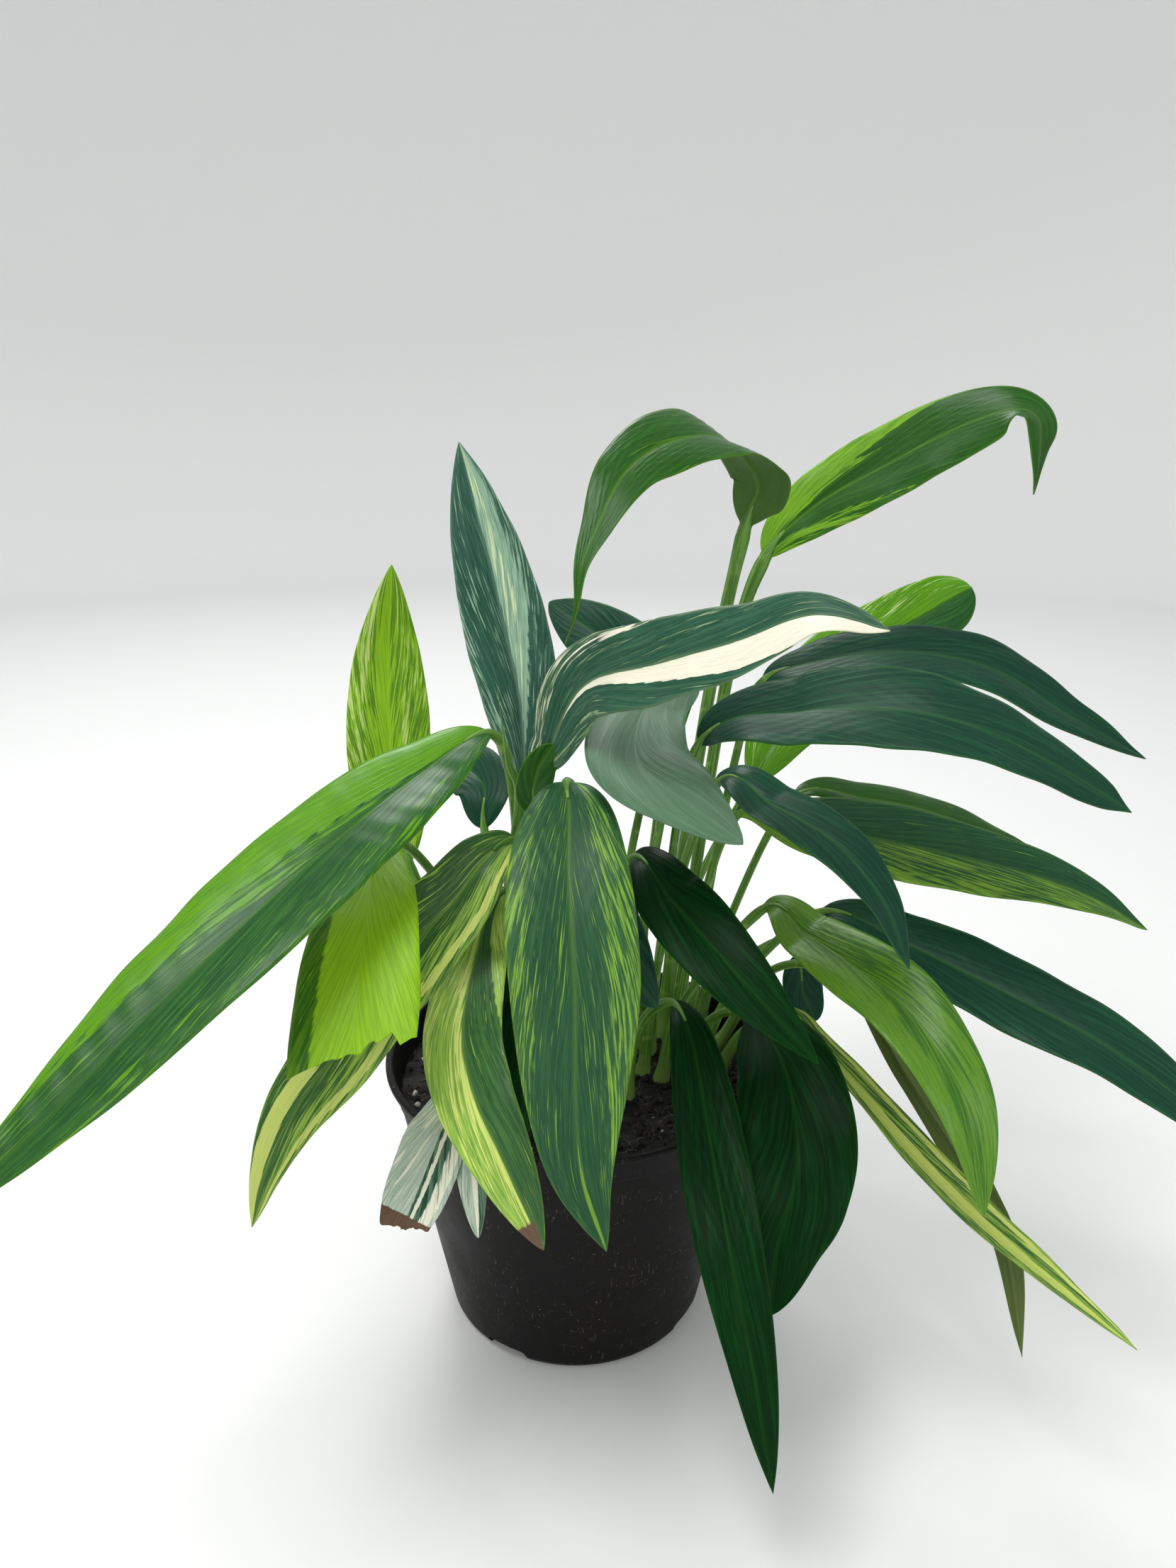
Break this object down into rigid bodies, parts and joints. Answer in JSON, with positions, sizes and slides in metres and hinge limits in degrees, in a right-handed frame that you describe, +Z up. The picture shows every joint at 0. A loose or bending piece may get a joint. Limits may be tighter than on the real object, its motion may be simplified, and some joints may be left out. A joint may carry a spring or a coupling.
{
  "type": "potted pothos plant",
  "caption": "Bushy potted houseplant: long lance-shaped variegated leaves on thin stalks, arching out of a round tapered plastic nursery pot.",
  "frame": {"origin": "centre of the underside of the pot's foot, on the surface it stands on", "axes": "+Z up along the pot's axis; -Y towards the side the leaves lean to, the front; +X to the right seen from the front"},
  "size_m": [0.4407, 0.324, 0.4105],
  "materials": {
    "pot_plastic": "black moulded polypropylene, satin, finely scratched",
    "potting_mix": "damp fibrous peat mix with bark and perlite",
    "leaf_stalk": "smooth green leaf stalk, slight sheen",
    "leaf_dark": "dark blue-green leaf, waxy sheen",
    "leaf_mid_green": "mid green leaf, waxy sheen",
    "leaf_lime_streaked": "lime leaf streaked dark green, waxy sheen",
    "leaf_light_green": "light lime leaf, waxy sheen",
    "leaf_cream_banded": "green leaf with cream band, waxy sheen",
    "leaf_silver_striped": "dark leaf with silver and cream stripe, waxy sheen",
    "leaf_grey_green": "grey-green leaf with a broad soft sheen",
    "leaf_yellow_streaked": "green leaf streaked yellow, waxy sheen",
    "leaf_pale_torn": "pale silver leaf with a brown broken end",
    "leaf_olive_underside": "olive brown leaf underside, matte"
  },
  "bodies": {
    "root": {"pot": "pot_plastic", "soil": "potting_mix", "big_left_stalk": "leaf_stalk", "big_left_blade": "leaf_lime_streaked", "upright_lime_stalk": "leaf_stalk", "upright_lime_blade": "leaf_light_green", "tall_silver_stalk": "leaf_stalk", "tall_silver_blade": "leaf_silver_striped", "arched_top_stalk": "leaf_stalk", "arched_top_blade": "leaf_mid_green", "top_right_stalk": "leaf_stalk", "top_right_blade": "leaf_mid_green", "back_lime_stalk": "leaf_stalk", "back_lime_blade": "leaf_lime_streaked", "upper_right_stalk": "leaf_stalk", "upper_right_blade": "leaf_dark", "broad_right_stalk": "leaf_stalk", "broad_right_blade": "leaf_dark", "cream_band_stalk": "leaf_stalk", "cream_band_blade": "leaf_cream_banded", "grey_centre_stalk": "leaf_stalk", "grey_centre_blade": "leaf_grey_green", "back_centre_stalk": "leaf_stalk", "back_centre_blade": "leaf_mid_green", "front_streaked_stalk": "leaf_stalk", "front_streaked_blade": "leaf_lime_streaked", "left_long_stalk": "leaf_stalk", "left_long_blade": "leaf_yellow_streaked", "torn_lime_stalk": "leaf_stalk", "torn_lime_blade": "leaf_light_green", "yellow_front_stalk": "leaf_stalk", "yellow_front_blade": "leaf_yellow_streaked", "broken_pale_stalk": "leaf_stalk", "broken_pale_blade": "leaf_pale_torn", "shaded_front_stalk": "leaf_stalk", "shaded_front_blade": "leaf_mid_green", "dark_centre_stalk": "leaf_stalk", "dark_centre_blade": "leaf_dark", "glossy_right_stalk": "leaf_stalk", "glossy_right_blade": "leaf_lime_streaked", "narrow_right_stalk": "leaf_stalk", "narrow_right_blade": "leaf_dark", "speckled_right_stalk": "leaf_stalk", "speckled_right_blade": "leaf_lime_streaked", "thin_back_right_stalk": "leaf_stalk", "thin_back_right_blade": "leaf_mid_green", "far_right_stalk": "leaf_stalk", "far_right_blade": "leaf_dark", "long_front_stalk": "leaf_stalk", "long_front_blade": "leaf_dark", "broad_shaded_stalk": "leaf_stalk", "broad_shaded_blade": "leaf_dark", "folded_right_stalk": "leaf_stalk", "folded_right_blade": "leaf_yellow_streaked", "tail_right_stalk": "leaf_stalk", "tail_right_blade": "leaf_olive_underside", "left_back_stalk": "leaf_stalk", "left_back_blade": "leaf_mid_green", "new_leaf_spear": "leaf_stalk"}
  },
  "joints": []
}
